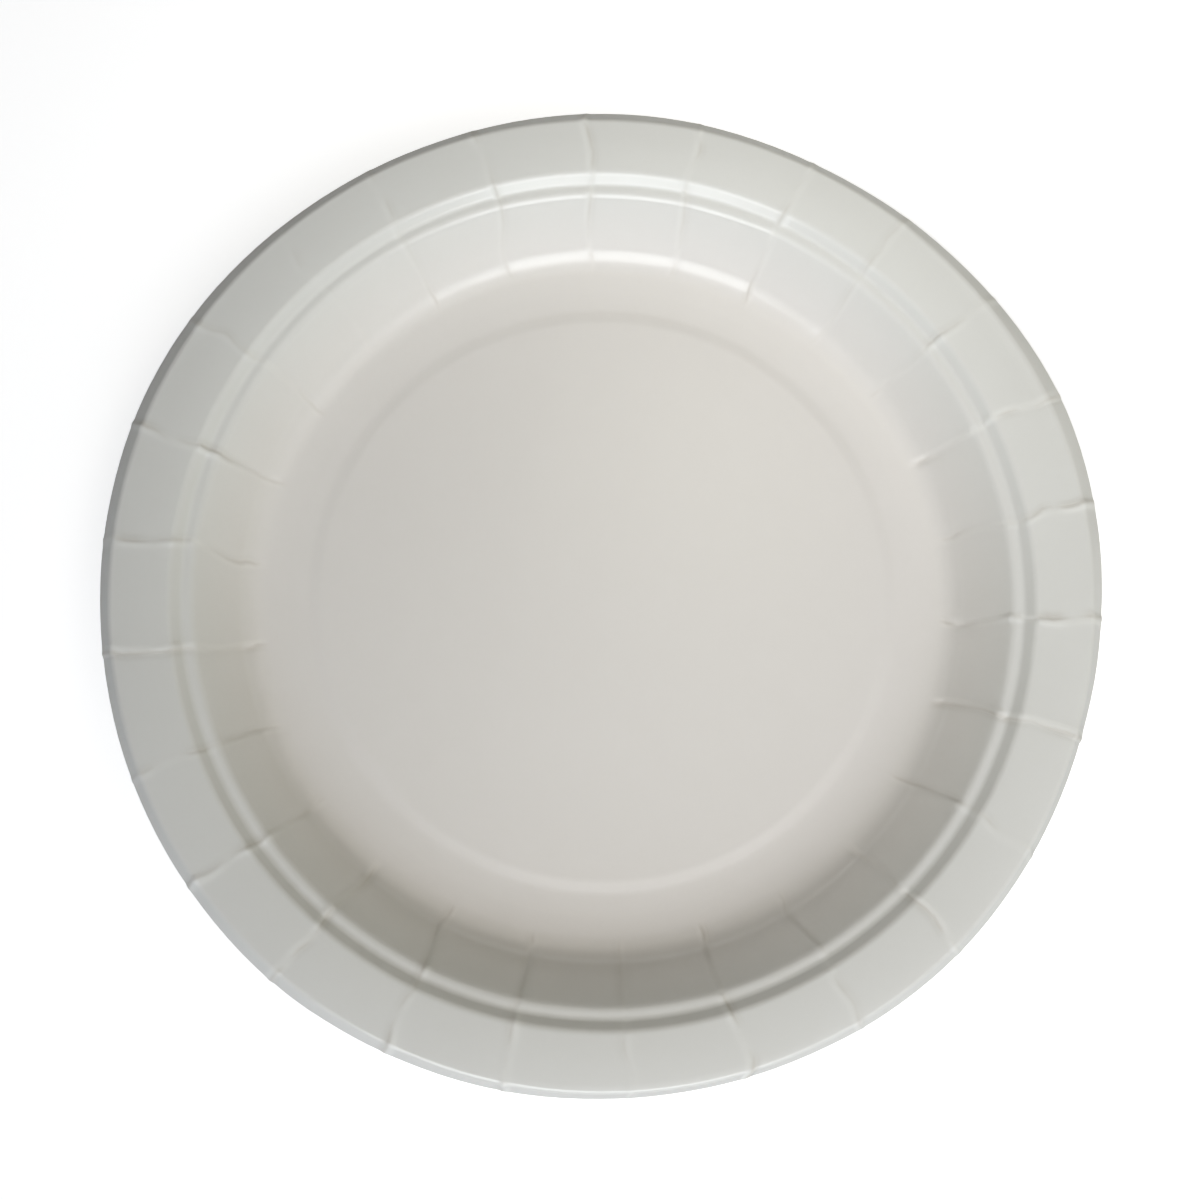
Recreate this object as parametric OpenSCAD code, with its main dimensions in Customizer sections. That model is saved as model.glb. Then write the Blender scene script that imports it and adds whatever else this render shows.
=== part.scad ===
// Round pleated dish pressed from one disc of coated paperboard.
// The wall and the rim are drawn out of a flat blank. The board left over there
// is gathered into evenly spaced pleats, pressed flat.

/* [Overall] */
// Width across the turned-down edge
plate_d = 260; // [230:1:320]
// Thickness of the coated board
board_t = 0.5; // [0.3:0.05:0.8]

/* [Base] */
// Height of the middle panel above the ring that the plate rests on
panel_lift = 0.6; // [0.2:0.05:0.8]
// Width of the slope round the middle panel
panel_slope_w = 3.4; // [3:0.2:10]
// Width of the flat ring that the plate rests on
rest_w = 6; // [3:0.25:10]
// Width of the slight rise between the resting ring and the corner
heel_w = 9.9; // [8.5:0.1:14]
// Slope of that rise in degrees
heel_a = 2; // [0.5:0.25:4]

/* [Wall] */
// Inside radius of the corner at the foot of the wall
corner_r = 8.6; // [4:0.2:12]
// Height of the wall
wall_h = 18.8; // [12:0.2:26]
// Slope of the wall in degrees
wall_a = 62; // [45:0.5:65]
// Outside radius of the bend at the top of the wall
brow_r = 2.2; // [0.8:0.1:2.5]

/* [Rim] */
// Width of the narrow ledge at the top of the wall
ledge_w = 2.8; // [2.4:0.1:8]
// Slope of the ledge in degrees
ledge_a = 5; // [0:1:10]
// Height of the second rise, between the ledge and the rim
riser_h = 2.6; // [1.8:0.1:4]
// Slope of the second rise in degrees
riser_a = 50; // [30:1:58]
// Radius of the two soft bends of the second rise
riser_r = 2.4; // [1:0.1:2.5]
// Width of the rim
rim_w = 14.3; // [10:0.1:20]
// Slope of the inner half of the rim in degrees
rim_a = 8; // [5:0.5:12]
// How much flatter the outer half of the rim is in degrees
rim_arch = 5; // [1:0.5:8]

/* [Edge] */
// Width of the turned-down edge
edge_w = 2.8; // [2:0.1:5]
// Downward slope of the turned-down edge in degrees
edge_a = 45; // [20:1:60]
// Radius of the bend between the rim and the edge
edge_r = 1.8; // [1:0.1:4]

/* [Pleats] */
// Number of pleats
pleat_n = 26; // [12:1:40]
// Width of one pleat in degrees round the plate
pleat_a = 1.1; // [0.6:0.1:2]
// Thickness that a pleat adds to each face of the board
pleat_t = 0.1; // [0.06:0.02:0.2]
// Bare margin between the end of a pleat and the cut edge
pleat_margin = 0.2; // [0.1:0.05:1]
// Turn of the first pleat from the +X axis in degrees
pleat_turn = -5; // [-15:0.5:15]

/* [Hidden] */
$fn = 180;
soft_r = 9;             // radius of the slight bends of the base
arch_r = 70;            // radius of the slight bend in the middle of the rim
bend_step = 9;          // largest turn of one facet of a bend
pleat_pitch = 360 / pleat_n;

// Radii and heights of the board's middle line, from the cut edge inwards.
edge_out = plate_d / 2 - sin(edge_a) * board_t / 2;
rim_out = edge_out - edge_w;
rim_in = rim_out - rim_w;
rim_mid = (rim_in + rim_out) / 2;
ledge_out = rim_in - riser_h / tan(riser_a);
ledge_in = ledge_out - ledge_w;
wall_foot = ledge_in - wall_h / tan(wall_a);
rest_out = wall_foot - heel_w;
rest_in = rest_out - rest_w;
panel_out = rest_in - panel_slope_w;

rest_z = board_t / 2;
foot_z = rest_z + heel_w * tan(heel_a);
wall_top_z = foot_z + wall_h;
ledge_z = wall_top_z + ledge_w * tan(ledge_a);
rim_in_z = ledge_z + riser_h;
rim_mid_z = rim_in_z + rim_w / 2 * tan(rim_a);
rim_out_z = rim_mid_z + rim_w / 2 * tan(rim_a - rim_arch);
edge_z = rim_out_z - edge_w * tan(edge_a);

// Corners of the middle line, each with the radius of its bend.
corners = [
    [panel_out, rest_z + panel_lift, soft_r],
    [rest_in, rest_z, soft_r],
    [rest_out, rest_z, soft_r],
    [wall_foot, foot_z, corner_r + board_t / 2],
    [ledge_in, wall_top_z, brow_r + board_t / 2],
    [ledge_out, ledge_z, riser_r],
    [rim_in, rim_in_z, riser_r],
    [rim_mid, rim_mid_z, arch_r],
    [rim_out, rim_out_z, edge_r]
];
centre = [0, rest_z + panel_lift];
board_end = [edge_out, edge_z];

// Point of a corner without its radius.
function place(c) = [c[0], c[1]];

// Heading in degrees from point a to point b.
function heading(a, b) = atan2(b[1] - a[1], b[0] - a[0]);

// Point on the left side of a line that runs at heading h.
function left(h) = [-sin(h), cos(h)];

// Facets of a round bend at corner c between points a and b: each entry is
// a point of the middle line with its heading.
function bend(a, c, b, r) =
    let (h1 = heading(a, c),
         turn = heading(c, b) - h1,
         side = turn > 0 ? 1 : -1,
         start = c - [cos(h1), sin(h1)] * r * tan(abs(turn) / 2),
         middle = start + left(h1) * r * side,
         steps = max(1, ceil(abs(turn) / bend_step)))
    [for (i = [0:steps])
        let (h = h1 + turn * i / steps)
        [middle - left(h) * r * side, h]];

// The whole middle line, from the centre of the plate to its cut edge.
last = len(corners) - 1;
middle_line = [
    [centre, 0],
    for (i = [0:last])
        let (before = i == 0 ? centre : place(corners[i - 1]),
             after = i == last ? board_end : place(corners[i + 1]))
        each bend(before, place(corners[i]), after, corners[i][2]),
    [board_end, -edge_a]
];

// Closed section of the given half thickness along part of the middle line.
function section(line, half) = concat(
    [for (s = line) s[0] + left(s[1]) * half],
    [for (i = [len(line) - 1:-1:0]) line[i][0] - left(line[i][1]) * half]
);

// A pleat starts part way up the corner bend and ends just inside the edge.
pleat_start = [for (i = [0:len(middle_line) - 1])
    if (middle_line[i][1] > wall_a / 3 && middle_line[i][1] < wall_a) i][0];
pleat_end = board_end - [cos(edge_a), -sin(edge_a)] * pleat_margin;
pleat_line = concat(
    [for (i = [pleat_start:len(middle_line) - 2]) middle_line[i]],
    [[pleat_end, -edge_a]]
);

// The formed board before it is gathered.
module board() {
    rotate_extrude()
        polygon(section(middle_line, board_t / 2));
}

// One pleat: folded board pressed flat, proud of both faces.
module pleat() {
    rotate([0, 0, -pleat_a / 2])
        rotate_extrude(angle = pleat_a)
            polygon(section(pleat_line, board_t / 2 + pleat_t));
}

module plate() {
    color("white") {
        board();
        for (i = [0:pleat_n - 1])
            rotate([0, 0, pleat_turn + i * pleat_pitch])
                pleat();
    }
}

plate();
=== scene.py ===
import random
from math import atan2, ceil, cos, degrees, exp, floor, hypot, pi, radians, sin, tan

import bpy
from mathutils import Matrix, Vector, noise


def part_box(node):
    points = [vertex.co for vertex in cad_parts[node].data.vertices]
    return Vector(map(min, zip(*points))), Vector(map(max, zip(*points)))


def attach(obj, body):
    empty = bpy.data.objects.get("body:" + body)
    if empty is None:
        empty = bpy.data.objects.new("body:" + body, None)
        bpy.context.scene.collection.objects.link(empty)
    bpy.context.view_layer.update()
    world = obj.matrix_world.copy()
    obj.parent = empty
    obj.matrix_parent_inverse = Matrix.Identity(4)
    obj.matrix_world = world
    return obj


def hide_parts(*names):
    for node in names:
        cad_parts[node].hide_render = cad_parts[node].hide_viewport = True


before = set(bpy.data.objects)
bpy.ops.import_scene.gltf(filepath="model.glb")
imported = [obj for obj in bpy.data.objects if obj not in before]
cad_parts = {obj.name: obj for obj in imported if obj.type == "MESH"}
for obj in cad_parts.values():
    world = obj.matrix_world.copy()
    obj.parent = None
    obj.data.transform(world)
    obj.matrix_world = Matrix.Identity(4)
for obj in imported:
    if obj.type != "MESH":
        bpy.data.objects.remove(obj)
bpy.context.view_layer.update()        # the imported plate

cadLow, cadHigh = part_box("plate")
mm = 0.001


# Shader sockets in plain arithmetic

class Wire:
    def __init__(self, tree, socket=None):
        self.tree = tree
        self.socket = socket

    def node(self, kind, settings=None, inputs=None, output=0):
        made = self.tree.nodes.new(kind)
        for name, value in (settings or {}).items():
            setattr(made, name, value)
        for name, value in (inputs or {}).items():
            if isinstance(value, Wire):
                self.tree.links.new(value.socket, made.inputs[name])
            else:
                made.inputs[name].default_value = value
        return Wire(self.tree, made.outputs[output] if made.outputs else None)

    def maths(self, operation, *values):
        return self.node("ShaderNodeMath", {"operation": operation}, dict(enumerate(values)))

    def __add__(self, other):
        return self.maths("ADD", self, other)

    def __mul__(self, other):
        return self.maths("MULTIPLY", self, other)

    def __rsub__(self, other):
        return self.maths("SUBTRACT", other, self)

    def blend(self, low, high):        # two colours, mixed by this value
        return self.node("ShaderNodeMix", {"data_type": "RGBA"}, {0: self, 6: low, 7: high}, output=2)


def newShader(name):
    material = bpy.data.materials.new(name)
    material.use_nodes = True
    material.node_tree.nodes.clear()
    return material, Wire(material.node_tree)


def noiseAt(wire, coords, size, detail=3.0, rough=0.55):        # 0 to 1, size is the spacing of its lumps
    return wire.node("ShaderNodeTexNoise", {}, {
        "Vector": coords, "Scale": 1 / size, "Detail": detail, "Roughness": rough})


def markAt(wire, name, output=2):        # a value that the mesh carries
    return wire.node("ShaderNodeAttribute", {"attribute_name": name}, output=output)


def bumpOf(wire, height, distance, normal=None):
    inputs = {"Height": height, "Distance": distance}
    if normal:
        inputs["Normal"] = normal
    return wire.node("ShaderNodeBump", {}, inputs)


def closeShader(wire, inputs):
    surface = wire.node("ShaderNodeBsdfPrincipled", {}, inputs)
    wire.node("ShaderNodeOutputMaterial", {}, {"Surface": surface})


# Camera

viewpoint = {
    "distance": 0.3077,        # from the middle of the plate at the height of its edge
    "elevation": 80.8,
    "turn": -14.4,             # from the front towards the left
    "aimX": -0.0020,           # the point that the camera looks at, at the same height
    "aimY": -0.0050,
    "edgeHeight": 0.02125,
    "lens": 35.4,
    "nearest": 0.01,
}


def addCamera(v):
    up, turn = radians(v["elevation"]), radians(v["turn"])
    middle = Vector((0, 0, v["edgeHeight"]))
    away = Vector((sin(turn) * cos(up), -cos(turn) * cos(up), sin(up)))
    place = middle + away * v["distance"]
    look = (middle + Vector((v["aimX"], v["aimY"], 0)) - place).normalized()
    right = (Vector((1, 0, 0)) - look * look.x).normalized()        # the picture's edge runs along X
    top = right.cross(look)
    turned = Matrix((right, top, -look)).transposed().to_4x4()
    data = bpy.data.cameras.new("viewpoint")
    data.lens = v["lens"]
    data.clip_start = v["nearest"]
    camera = bpy.data.objects.new("viewpoint", data)
    camera.matrix_world = Matrix.Translation(place) @ turned
    bpy.context.collection.objects.link(camera)
    bpy.context.scene.camera = camera
    print("camera placed")


# Light and floor

studio = {
    # Turn and height in degrees, then distance, width and height in metres, watts and colour.
    "gloss": {        # the window, as the gloss shows it
        "pane": (-91.5, 37, 3.0, 2.36, 2.18, 30.0, (0.965, 1.0, 1.0)),
        "paneEnd": (-62.5, 37, 3.0, 0.79, 2.18, 2.0, (0.965, 1.0, 1.0)),
    },
    "soft": {        # its light, and that of the room, which the gloss doesn't show
        "front": (-88, 37, 3.0, 3.40, 2.18, 52.0, (0.84, 0.915, 1.0)),
        "corner": (-45, 52, 3.0, 2.60, 1.60, 19.4, (1.0, 0.91, 0.895)),
        "side": (0, 20, 3.0, 2.60, 1.40, 13.6, (0.985, 1.0, 0.79)),
        "near": (60, 65, 0.3, 0.12, 0.12, 0.125, (1.0, 0.98, 0.82)),
    },
    # The spot is aimed beside the plate, so that its soft edge crosses the left of it.
    "spotTurn": -135, "spotUp": 60, "spotAway": 3.0, "spotAimX": 0.538,
    "spotCone": 23.4, "spotSoft": 0.35, "spotSize": 0.12, "spotPower": 149.0,
    "spotColour": (1.0, 0.985, 0.95),
    "sky": (0.01, 0.01, 0.01, 1),
    # The floor gets its white from floorLift, which the camera alone sees.
    "floorSize": 6.0, "floorColour": (0.60, 0.60, 0.60, 1), "floorRough": 0.9,
    "floorLift": (0.70, 0.70, 0.70, 1),
}


def placeLamp(data, colour, turn, up, away, aimX=0.0):
    data.color = colour
    lamp = bpy.data.objects.new(data.name, data)
    t, u = radians(turn), radians(up)
    place = Vector((cos(t) * cos(u), sin(t) * cos(u), sin(u))) * away
    lamp.location = place
    lamp.rotation_euler = (Vector((aimX, 0, 0)) - place).to_track_quat("-Z", "Y").to_euler()
    lamp.visible_camera = False
    bpy.context.collection.objects.link(lamp)
    return lamp


def addLamp(name, turn, up, away, width, height, power, colour):
    data = bpy.data.lights.new(name, "AREA")
    data.shape = "RECTANGLE"
    data.size = width
    data.size_y = height
    data.energy = power
    return placeLamp(data, colour, turn, up, away)


def addSpot(s):
    data = bpy.data.lights.new("spot", "SPOT")
    data.spot_size = radians(s["spotCone"])
    data.spot_blend = s["spotSoft"]
    data.shadow_soft_size = s["spotSize"]
    data.energy = s["spotPower"]
    return placeLamp(data, s["spotColour"], s["spotTurn"], s["spotUp"], s["spotAway"], s["spotAimX"])


def cameraOnly(wire, unseen, seen):        # one colour for the camera, another for light that bounces
    return wire.node("ShaderNodeLightPath").blend(unseen, seen)


def addStudio(s):
    for name, values in s["gloss"].items():
        addLamp(name, *values).visible_diffuse = False
    for name, values in s["soft"].items():
        addLamp(name, *values).visible_glossy = False
    addSpot(s).visible_glossy = False

    world = bpy.data.worlds.new("studio")
    bpy.context.scene.world = world
    world.use_nodes = True
    world.node_tree.nodes.clear()
    wire = Wire(world.node_tree)
    sky = wire.node("ShaderNodeBackground", {}, {"Color": cameraOnly(wire, s["sky"], (1, 1, 1, 1))})
    wire.node("ShaderNodeOutputWorld", {}, {"Surface": sky})

    bpy.ops.object.select_all(action="DESELECT")
    bpy.ops.mesh.primitive_plane_add(size=s["floorSize"])
    ground = bpy.context.object
    ground.name = "ground"
    material, wire = newShader("paleFloor")
    closeShader(wire, {
        "Base Color": s["floorColour"], "Roughness": s["floorRough"], "Specular IOR Level": 0.0,
        "Emission Color": cameraOnly(wire, (0, 0, 0, 1), s["floorLift"]), "Emission Strength": 1.0})
    ground.data.materials.append(material)
    bpy.context.scene.view_settings.view_transform = "Standard"
    print("studio ready")


# The plate

plateForm = {        # millimetres and degrees
    # The section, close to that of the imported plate.
    "board": 0.5,
    "panelLift": 0.62, "panelSlope": 3.4, "rest": 6.0, "heel": 9.9, "heelTilt": 2.0, "softBend": 9.0,
    "cornerBend": 8.6, "wallHeight": 18.8, "wallTilt": 62.0, "browBend": 2.2,
    "ledge": 2.8, "ledgeTilt": 5.0, "riserHeight": 2.6, "riserTilt": 50.0, "riserBend": 2.4,
    "rim": 14.3, "rimTilt": 8.0, "rimEase": 5.0, "rimBend": 70.0,
    "edge": 2.8, "edgeTilt": 45.0, "edgeBend": 1.8,
    # The mesh: degrees that one ring of a bend turns, widest spacing of rings on a straight stretch and on
    # the middle panel, and the degrees from a pleat's middle to its columns of faces.
    "facet": 6.0, "longest": 2.4, "panelRings": 13.0,
    "columns": (0, 0.13, 0.27, 0.42, 0.58, 0.78, 1.05, 1.4, 1.95, 2.9, 4.6),
    "smoothAngle": 40,

    # The pleats: each starts near this radius, give or take startSpread, and is full after pleatRise.
    "pleats": 26, "pleatTurn": -5.0, "pleatStart": 93.0, "startSpread": 1.2, "pleatRise": 4.0,
    "loosest": 0.6,          # the least that a pleat draws on the corner, against 1
    "strengths": (1.3, 0.9, 1.1, 0.6, 0.5, 0.8, 0.7, 0.75, 0.6, 0.5, 0.2, 0.6, 1.0,
                  0.8, 1.2, 0.8, 1.1, 1.2, 0.8, 0.9, 0.5, 1.0, 0.7, 0.9, 0.8, 1.4),
    "seed": 4,
    # Thickness on each face, width in degrees, softness of its sides, and how far it leans to one side.
    "pleatProud": 0.07, "pleatWidth": 1.1, "pleatEdge": 0.32, "pleatAside": 0.35,
    # A pleat is thicker where the section turns by sharpBend degrees a millimetre, and flatter on the wall.
    "knuckle": 1.7, "sharpBend": 14.0, "wallPress": 0.6, "wallPressWide": 4.5,
    # It is patchy along its length, and runs a little crooked.
    "patchMean": 0.6, "patchSwing": 1.7, "patchLow": 0.05, "patchHigh": 1.5,
    "jitter": 0.5, "drift": 1.1, "driftWhole": 1.5, "driftEnd": 4.4, "driftRise": 8.0,
    "uneven": {        # length of the lumps along a pleat, then the step and the layer that pick a pattern
        "patch": (5.5, 3.7, 0.5), "jitter": (2.4, 9.1, 2.5),
        "knot": (1.8, 5.3, 4.5), "drift": (9.0, 2.9, 8.5),
    },
    # Depth and width of the crease, then the share, place and width of the weaker one beside it.
    "grooveDeep": 0.07, "grooveWide": 0.55, "sideGroove": 0.35, "sideAway": 1.1, "sideWiden": 1.3,
    # Knots on the sharp bends, and one knob at the edge, between these distances from it.
    "knot": 0.34, "knotAside": 0.5, "knotWide": 0.9,
    "edgeKnob": 0.20, "knobWide": 0.8, "knobFrom": 4.5, "knobTo": 2.5,
    # The board beside a pleat: height and width of each form.
    "dip": 0.04, "dipWide": 2.6, "flap": 0.03, "flapWide": 3.4, "flapTurn": 0.5,
    "tuck": 0.28, "tuckWide": 1.5, "tuckIn": 9.0, "tuckOut": 8.0, "flatness": 0.12,
    "breakWide": 0.8, "shineWide": 1.9,        # where the gloss breaks, and where it is streaky

    # The sheet: slow waves, ripples, and an edge that wanders by (times round, size, direction).
    "waveLong": 42.0, "waveHigh": 0.30, "waveLeast": 0.35, "waveFrom": 85.0, "waveTo": 118.0,
    "rippleLong": 11.0, "rippleHigh": 0.04, "rippleFrom": 96.0, "rippleTo": 110.0, "restFade": 6.0,
    "edgeWander": ((0, 0.27, 0), (1, 0.72, 89), (2, 0.68, 16), (3, 0.31, 21), (4, 0.15, 31), (5, 0.39, 18),
                   (6, 0.17, 24)),
    "edgeStart": 126.0, "edgeTip": 0.5,        # where that starts, and its share in height

    # The finishes, with their patterns in metres.
    # The board is one colour; wellTone and rimTone paint light: warmer and lighter in the well, cooler and
    # darker from the wall out.
    "wellTone": (0.81, 0.785, 0.755, 1), "rimTone": (0.768, 0.769, 0.744, 1),
    "plainTone": (0.77, 0.76, 0.72, 1), "cutTone": (0.76, 0.74, 0.69, 1),
    "creaseShadeAndFleckTone": (0.42, 0.38, 0.32, 1), "cloudTone": (0.55, 0.52, 0.46, 1),
    "cloudLong": 0.011, "fleckLong": 0.0011, "glossyCloud": 0.07, "plainCloud": 0.16,
    "grainLong": 0.00085, "grainHigh": 0.000012, "hammerLong": 0.006, "hammerHigh": 0.00006,
    "streakScale": (3.2, 0.10, 1.0), "streakHigh": 0.00006,
    "fibreLong": 0.0006, "fibreHigh": 0.00003, "cutLong": 0.0003, "cutHigh": 0.00004,
    "roughness": 0.32, "roughSpread": 0.10, "roughLong": 0.004, "pleatRough": 0.35,
    "plainRoughness": 0.68, "plainSpread": 0.12, "cutRoughness": 0.85,
    "coat": 1.0, "coatRoughness": 0.18, "coatIor": 1.7,
    "glossyCreaseTintAndShade": 0.33, "plainCreaseTintAndShade": 0.25, "cutFleck": 0.5,        # how strongly the crease darkens, partly its darker board and partly painted shade, and how strongly fibres fleck
}


def cornersOf(form):        # corners of the board's middle line, each with its bend, from the centre out
    halfBoard = form["board"] / 2
    tilted = ("heel", "wall", "ledge", "riser", "rim", "edge")
    tilt = {name: radians(form[name + "Tilt"]) for name in tilted}
    rimFall = tilt["rim"] - radians(form["rimEase"])
    edgeR = cadHigh.x / mm - sin(tilt["edge"]) * halfBoard
    rimOut = edgeR - form["edge"]
    rimIn = rimOut - form["rim"]
    rimMid = (rimIn + rimOut) / 2
    ledgeOut = rimIn - form["riserHeight"] / tan(tilt["riser"])
    ledgeIn = ledgeOut - form["ledge"]
    wallFoot = ledgeIn - form["wallHeight"] / tan(tilt["wall"])
    restOut = wallFoot - form["heel"]
    restIn = restOut - form["rest"]
    panelOut = restIn - form["panelSlope"]
    footZ = halfBoard + form["heel"] * tan(tilt["heel"])
    wallTopZ = footZ + form["wallHeight"]
    ledgeZ = wallTopZ + form["ledge"] * tan(tilt["ledge"])
    rimInZ = ledgeZ + form["riserHeight"]
    rimMidZ = rimInZ + (rimMid - rimIn) * tan(tilt["rim"])
    rimOutZ = rimMidZ + (rimOut - rimMid) * tan(rimFall)
    edgeZ = rimOutZ - form["edge"] * tan(tilt["edge"])
    corners = [
        (panelOut, halfBoard + form["panelLift"], form["softBend"]),
        (restIn, halfBoard, form["softBend"]),
        (restOut, halfBoard, form["softBend"]),
        (wallFoot, footZ, form["cornerBend"] + halfBoard),
        (ledgeIn, wallTopZ, form["browBend"] + halfBoard),
        (ledgeOut, ledgeZ, form["riserBend"]),
        (rimIn, rimInZ, form["riserBend"]),
        (rimMid, rimMidZ, form["rimBend"]),
        (rimOut, rimOutZ, form["edgeBend"]),
    ]
    at = {"panel": panelOut, "restIn": restIn, "restOut": restOut, "wallFoot": wallFoot,
          "brow": ledgeIn, "edge": edgeR}
    return corners, (edgeR, edgeZ), at


def bentLine(form, corners, cutEdge):        # the middle line: radius, height and heading of each point
    ends = [(0, corners[0][1])] + [c[:2] for c in corners] + [cutEdge]
    line = [(ends[0][0], ends[0][1], 0.0)]
    for i, (r, z, bend) in enumerate(corners):
        before, after = ends[i], ends[i + 2]
        h1 = atan2(z - before[1], r - before[0])
        h2 = atan2(after[1] - z, after[0] - r)
        side = 1 if h2 > h1 else -1
        reach = bend * tan(abs(h2 - h1) / 2)
        middle = (r - cos(h1) * reach - sin(h1) * bend * side, z - sin(h1) * reach + cos(h1) * bend * side)
        steps = max(2, ceil(degrees(abs(h2 - h1)) / form["facet"]))
        for k in range(steps + 1):
            h = h1 + (h2 - h1) * k / steps
            line.append((middle[0] + sin(h) * bend * side, middle[1] - cos(h) * bend * side, h))
    line.append((*cutEdge, -radians(form["edgeTilt"])))
    return line


def sectionOf(form):        # rings of the plate, and the radii that its forms start from
    corners, cutEdge, at = cornersOf(form)
    line = bentLine(form, corners, cutEdge)
    rings = [line[0]]
    for r, z, h in line[1:]:        # straight stretches get rings of their own
        r0, z0, h0 = rings[-1]
        spacing = form["longest"] if r0 > at["panel"] else form["panelRings"]
        parts = ceil(hypot(r - r0, z - z0) / spacing)
        for k in range(1, parts + 1):
            rings.append((r0 + (r - r0) * k / parts, z0 + (z - z0) * k / parts, h if k == parts else h0))
    return rings, at


def columnAngles(form):        # degrees round the plate, close together at each pleat
    pitch = 360 / form["pleats"]
    offsets = sorted({side * o for o in form["columns"] for side in (-1, 1)} | {pitch / 2})
    return [form["pleatTurn"] + k * pitch + o for k in range(form["pleats"]) for o in offsets]


def ringUp(name, rings, angles):        # a disc, drawn out ring by ring along the section
    start = rings[1]
    bpy.ops.object.select_all(action="DESELECT")
    bpy.ops.mesh.primitive_circle_add(vertices=len(angles), radius=start[0] * mm, fill_type="NGON",
                                      location=(0, 0, start[1] * mm))
    piece = bpy.context.object
    piece.name = name
    for vertex, angle in zip(piece.data.vertices, angles):
        a = radians(angle)
        vertex.co = (start[0] * mm * cos(a), start[0] * mm * sin(a), 0)
    bpy.ops.object.mode_set(mode="EDIT")
    bpy.ops.mesh.select_mode(type="EDGE")
    bpy.ops.mesh.select_all(action="SELECT")
    last = start
    for ring in rings[2:]:
        bpy.ops.mesh.extrude_edges_move(TRANSFORM_OT_translate={"value": (0, 0, (ring[1] - last[1]) * mm)})
        grow = ring[0] / last[0]
        bpy.ops.transform.resize(value=(grow, grow, 1), center_override=(0, 0, ring[1] * mm))
        last = ring
    bpy.ops.mesh.select_all(action="SELECT")
    bpy.ops.mesh.normals_make_consistent(inside=False)
    bpy.ops.object.mode_set(mode="OBJECT")
    bpy.ops.object.transform_apply(location=True, rotation=True, scale=True)
    if piece.data.polygons[0].normal.z < 0:
        piece.data.flip_normals()
    return piece


def smoothStep(low, high, value):
    t = min(1, max(0, (value - low) / (high - low)))
    return t * t * (3 - 2 * t)


def hill(place, width):        # 1 at the middle, falling away smoothly to both sides
    return exp(-(place / width) ** 2)


def foldTraits(form):        # each pleat has a strength, a start, a side that it leans to and a tightness
    rng = random.Random(form["seed"])
    spread = form["startSpread"]
    return [(strength, rng.uniform(-spread, spread), rng.choice((-1, 1)), rng.uniform(form["loosest"], 1))
            for strength in form["strengths"]]


def unevenAt(form, kind, number, r):        # -1 to 1 along one pleat
    lump, step, layer = form["uneven"][kind]
    return noise.noise(Vector((number * step, r / lump, layer)))


def sharpness(rings, sharpBend):        # 0 on straight stretches of the section, 1 where it bends sharply
    turning = [0.0] * len(rings)
    for i in range(2, len(rings) - 1):
        run = hypot(rings[i + 1][0] - rings[i - 1][0], rings[i + 1][1] - rings[i - 1][1])
        turning[i] = min(1, degrees(abs(rings[i + 1][2] - rings[i - 1][2])) / run / sharpBend)
    return [max(turning[max(0, i - 1):i + 2]) for i in range(len(turning))]


def foldAt(form, at, trait, number, across, r, bend):        # one pleat, at one place of the section
    strength, late, lean, tight = trait
    corner, brow = at["wallFoot"], at["brow"]
    begins = form["pleatStart"] + late
    grown = smoothStep(begins, begins + form["pleatRise"], r) * strength
    patch = form["patchMean"] + form["patchSwing"] * unevenAt(form, "patch", number, r)
    patch = min(form["patchHigh"], max(form["patchLow"], patch))
    patch *= 1 - form["wallPress"] * hill(r - (corner + brow) / 2, form["wallPressWide"])
    spread = across * pi / 180 * r        # millimetres from the pleat's middle
    spread += form["jitter"] * unevenAt(form, "jitter", number, r)
    half, soft = form["pleatWidth"] / 2, form["pleatEdge"]
    band = 1 - smoothStep(half - soft, half + soft, abs(across - lean * form["pleatAside"]))
    bulky = 1 + (form["knuckle"] - 1) * bend
    proud = min(form["knuckle"], band * grown * bulky * (0.5 + 0.5 * patch))

    # A crease along the pleat, a weaker one beside it, and knots where both cross a bend.
    crease = hill(spread, form["grooveWide"])
    aside = hill(spread + lean * form["sideAway"], form["grooveWide"] * form["sideWiden"])
    aside *= form["sideGroove"]
    groove = crease + aside * (1.6 - patch)        # the weaker one shows where the main one is faint
    groove *= form["grooveDeep"] * grown * patch * bulky
    knot = unevenAt(form, "knot", number, r) * form["knot"]
    knot *= bend * grown * hill(spread - lean * form["knotAside"], form["knotWide"])
    nearEdge = smoothStep(at["edge"] - form["knobFrom"], at["edge"] - form["knobTo"], r)
    knot += form["edgeKnob"] * grown * hill(spread, form["knobWide"]) * nearEdge

    # The board beside a pleat dips, one side lies higher, and the corner is drawn outwards.
    dip = form["dip"] * grown * hill(spread, form["dipWide"])
    flap = form["flap"] * lean * grown * patch * hill(spread, form["flapWide"])
    flap *= max(-1, min(1, spread / form["flapTurn"]))
    tuck = smoothStep(corner - form["tuckIn"], corner - 1, r)
    tuck *= 1 - smoothStep(corner - 1, corner + form["tuckOut"], r)
    tuck *= form["tuck"] * tight * grown * hill(spread, form["tuckWide"])

    broken = hill(spread, form["breakWide"]) * min(1, 3 * bend)        # the gloss breaks on the bends
    return {
        "lift": flap + knot - dip - tuck - groove, "grown": grown, "proud": proud, "spread": spread,
        "pleat": min(1, grown * max(broken, band * (0.4 + 0.6 * patch))),
        # fold marks the crease, which the finishes darken: partly its darker board, partly painted shade in
        # the crease
        "fold": min(1, (crease + aside) * grown * patch),
        "near": min(1, hill(spread, form["shineWide"]) * grown * patch),
    }


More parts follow.
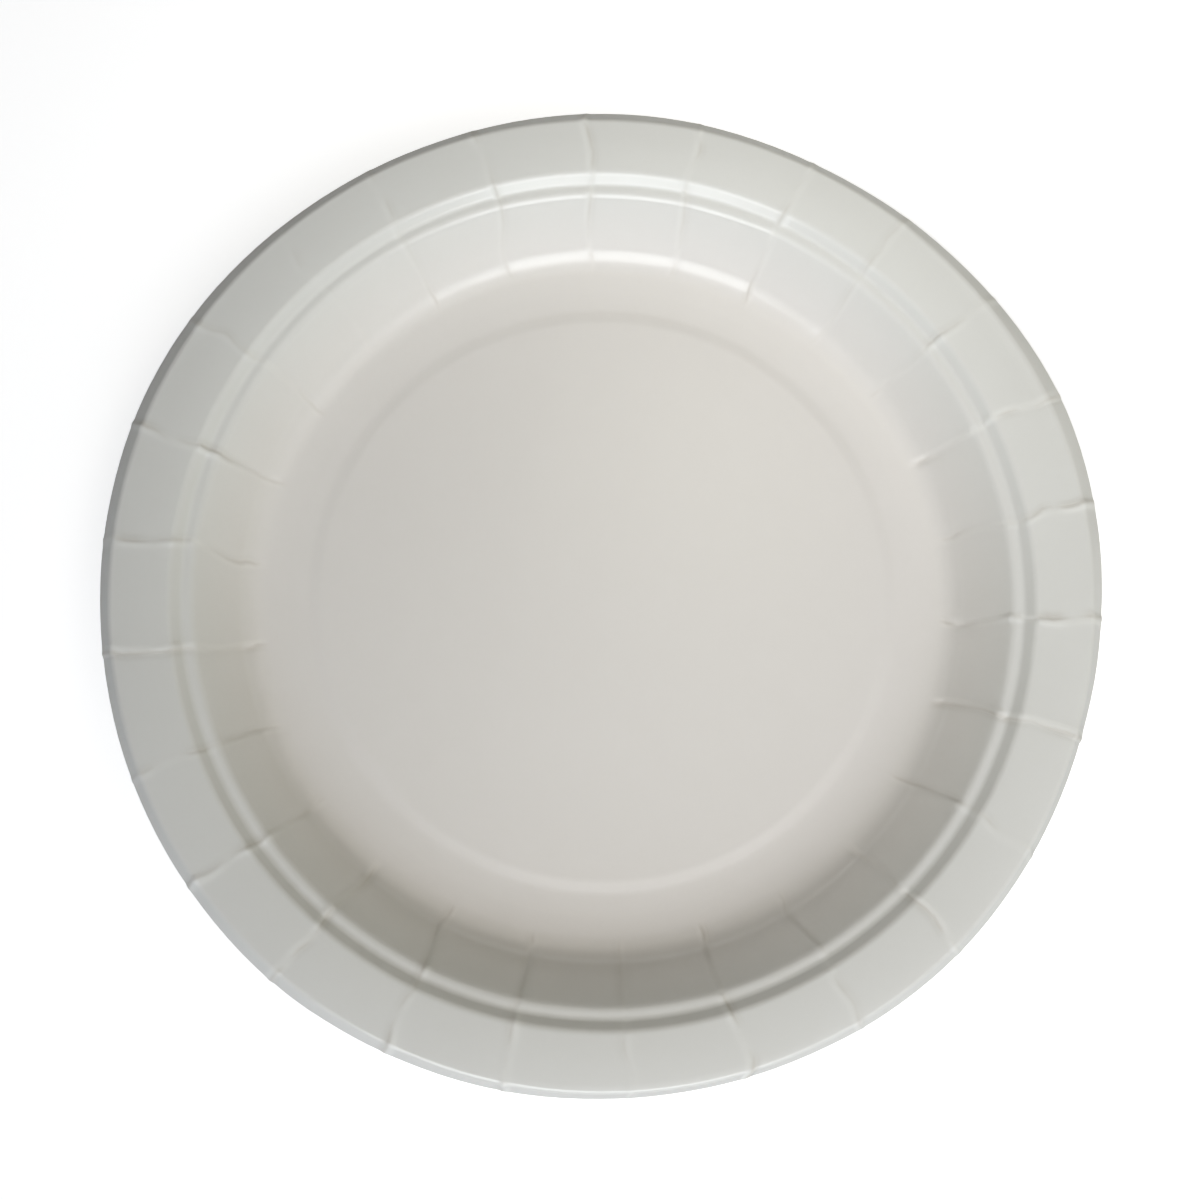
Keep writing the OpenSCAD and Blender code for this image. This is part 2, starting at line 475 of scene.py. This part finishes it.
def waveAt(form, at, angle, r):        # slow waves of the whole sheet, except on the ring that it rests on
    spot = Vector((r * cos(radians(angle)), r * sin(radians(angle)), 0))
    least, fade = form["waveLeast"], form["restFade"]
    wave = noise.noise(spot / form["waveLong"]) * form["waveHigh"]
    wave *= least + (1 - least) * smoothStep(form["waveFrom"], form["waveTo"], r)
    ripple = noise.noise(spot / form["rippleLong"] + Vector((7, 3, 1))) * form["rippleHigh"]
    wave += ripple * smoothStep(form["rippleFrom"], form["rippleTo"], r)
    resting = smoothStep(at["restIn"] - fade, at["restIn"], r)
    resting *= 1 - smoothStep(at["restOut"], at["restOut"] + fade, r)
    return wave * (1 - resting)


def flatAt(form, at, across, r, grown):        # the wall is a little flat between two pleats
    count, pitch = form["pleats"], 360 / form["pleats"]
    flat = form["flatness"] * r * (1 - cos(pi / count) / cos(radians(pitch / 2 - abs(across))))
    return flat * min(1, grown * 1.5) * (1 - smoothStep(at["brow"] - 1, at["brow"] + 5, r))


def driftAt(form, number, across, r):        # degrees that a pleat runs off its line
    near = 1 - smoothStep(form["driftWhole"], form["driftEnd"], abs(across))
    risen = smoothStep(form["pleatStart"], form["pleatStart"] + form["driftRise"], r)
    return unevenAt(form, "drift", number, r) * form["drift"] * near * risen


def keepMarks(mesh, marks, spots):        # values that the finishes read
    for name, values in marks.items():
        mesh.attributes.new(name, "FLOAT", "POINT")
        mesh.attributes[name].data.foreach_set("value", values)
    mesh.attributes.new("spot", "FLOAT_VECTOR", "POINT")
    mesh.attributes["spot"].data.foreach_set("vector", spots)


def thicken(piece, form, bulk):        # both faces and the cut edge, thicker along the pleats
    group = piece.vertex_groups.new(name="pleatBulk")
    for index, share in enumerate(bulk):
        if share > 0:
            group.add([index], share, "REPLACE")
    thickest = form["board"] + 2 * form["pleatProud"] * form["knuckle"]
    shell = piece.modifiers.new("shell", "SOLIDIFY")
    shell.thickness = thickest * mm
    shell.offset = 0
    shell.use_even_offset = True
    shell.vertex_group = "pleatBulk"
    shell.thickness_vertex_group = form["board"] / thickest
    shell.material_offset = 1
    shell.material_offset_rim = 2
    for material in (glossyBoard(form), plainBoard(form), cutBoard(form)):
        piece.data.materials.append(material)
    bpy.context.view_layer.objects.active = piece
    piece.select_set(True)
    bpy.ops.object.modifier_apply(modifier="shell")
    bpy.ops.object.shade_smooth_by_angle(angle=radians(form["smoothAngle"]))


def pressPlate(form):
    rings, at = sectionOf(form)
    angles = columnAngles(form)
    count = len(angles)
    piece = ringUp("plateBoard", rings, angles)
    traits = foldTraits(form)
    bends = sharpness(rings, form["sharpBend"])
    pitch = 360 / form["pleats"]
    marks = {"pleat": [], "fold": [], "near": [], "outer": []}
    spots = []
    bulk = []
    for vertex in piece.data.vertices:
        ring = vertex.index // count + 1
        r, z, heading = rings[ring]
        angle = angles[vertex.index % count]
        number = floor((angle - form["pleatTurn"]) / pitch + 0.5)
        across = angle - form["pleatTurn"] - number * pitch        # degrees from the pleat's middle
        number %= form["pleats"]
        fold = foldAt(form, at, traits[number], number, across, r, bends[ring])
        lift = waveAt(form, at, angle, r) + fold["lift"]
        wander = sum(size * cos(radians(times * (angle - peak)))
                     for times, size, peak in form["edgeWander"])
        wander *= max(0, (r - form["edgeStart"]) / (at["edge"] - form["edgeStart"]))
        newR = r + wander - flatAt(form, at, across, r, fold["grown"]) - sin(heading) * lift
        a = radians(angle + driftAt(form, number, across, r))
        height = z + cos(heading) * lift + form["edgeTip"] * wander
        vertex.co = Vector((newR * cos(a), newR * sin(a), height)) * mm
        for name in ("pleat", "fold", "near"):
            marks[name].append(fold[name])
        # outer switches the board from the well's tint to the rim's, a painted change of light
        marks["outer"].append(smoothStep(at["wallFoot"] - 2, at["brow"] + 4, r))
        spots.extend((fold["spread"], r, number * 10))
        bulk.append(fold["proud"] / form["knuckle"])
    keepMarks(piece.data, marks, spots)
    thicken(piece, form, bulk)
    print("plate pressed:", len(rings), "rings,", count, "columns,", len(piece.data.polygons), "faces")
    return piece


# Board finishes

def boardTone(wire, coords, form, tone, strength):        # cloudy fibre in the sheet, coarse and fine
    cloud = noiseAt(wire, coords, form["cloudLong"], 4.0, 0.6)
    fleck = noiseAt(wire, coords, form["fleckLong"], 2.0, 0.5)
    dark = (1 - cloud) * strength + (1 - fleck) * (strength * 0.5)
    return dark.blend(tone, form["cloudTone"])


def glossyBoard(form):
    material, wire = newShader("coatedBoard")
    coords = wire.node("ShaderNodeTexCoord", output=3)
    pleat = markAt(wire, "pleat")
    # Painted light: the one board is tinted warmer and lighter in the well, cooler and darker from the wall
    # out.
    tone = markAt(wire, "outer").blend(form["wellTone"], form["rimTone"])
    colour = boardTone(wire, coords, form, tone, form["glossyCloud"])
    # The crease is darkened: partly its darker board, partly painted shade in the crease.
    colour = (markAt(wire, "fold") * form["glossyCreaseTintAndShade"]).blend(colour, form["creaseShadeAndFleckTone"])
    grain = noiseAt(wire, coords, form["grainLong"], 2.0, 0.5)
    hammer = noiseAt(wire, coords, form["hammerLong"], 2.0, 0.5)
    streakSpot = wire.node("ShaderNodeVectorMath", {"operation": "MULTIPLY"},
                           {0: markAt(wire, "spot", 1), 1: form["streakScale"]})
    streak = noiseAt(wire, streakSpot, 1.0, 2.0, 0.6) * markAt(wire, "near")
    normal = bumpOf(wire, grain, form["grainHigh"])
    normal = bumpOf(wire, hammer, form["hammerHigh"], normal)
    normal = bumpOf(wire, streak, form["streakHigh"], normal)
    rough = noiseAt(wire, coords, form["roughLong"], 3.0, 0.6) * form["roughSpread"] + form["roughness"]
    rough = rough + pleat * form["pleatRough"]
    closeShader(wire, {
        "Base Color": colour, "Roughness": rough, "IOR": 1.5, "Normal": normal,
        "Coat Weight": (1 - pleat) * form["coat"], "Coat Roughness": form["coatRoughness"],
        "Coat IOR": form["coatIor"]})
    return material


def plainBoard(form):
    material, wire = newShader("plainBoard")
    coords = wire.node("ShaderNodeTexCoord", output=3)
    colour = boardTone(wire, coords, form, form["plainTone"], form["plainCloud"])
    # The crease is darkened: partly its darker board, partly painted shade in the crease.
    colour = (markAt(wire, "fold") * form["plainCreaseTintAndShade"]).blend(colour, form["creaseShadeAndFleckTone"])
    fibre = noiseAt(wire, coords, form["fibreLong"], 4.0, 0.65)
    rough = fibre * form["plainSpread"] + form["plainRoughness"]
    closeShader(wire, {"Base Color": colour, "Roughness": rough, "IOR": 1.45,
                       "Normal": bumpOf(wire, fibre, form["fibreHigh"])})
    return material


def cutBoard(form):
    material, wire = newShader("cutBoard")
    coords = wire.node("ShaderNodeTexCoord", output=3)
    fibre = noiseAt(wire, coords, form["cutLong"], 3.0, 0.7)
    colour = (fibre * form["cutFleck"]).blend(form["cutTone"], form["creaseShadeAndFleckTone"])
    closeShader(wire, {"Base Color": colour, "Roughness": form["cutRoughness"],
                       "Normal": bumpOf(wire, fibre, form["cutHigh"])})
    return material


addCamera(viewpoint)
addStudio(studio)
plateBoard = pressPlate(plateForm)
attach(plateBoard, "root")
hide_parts("plate")
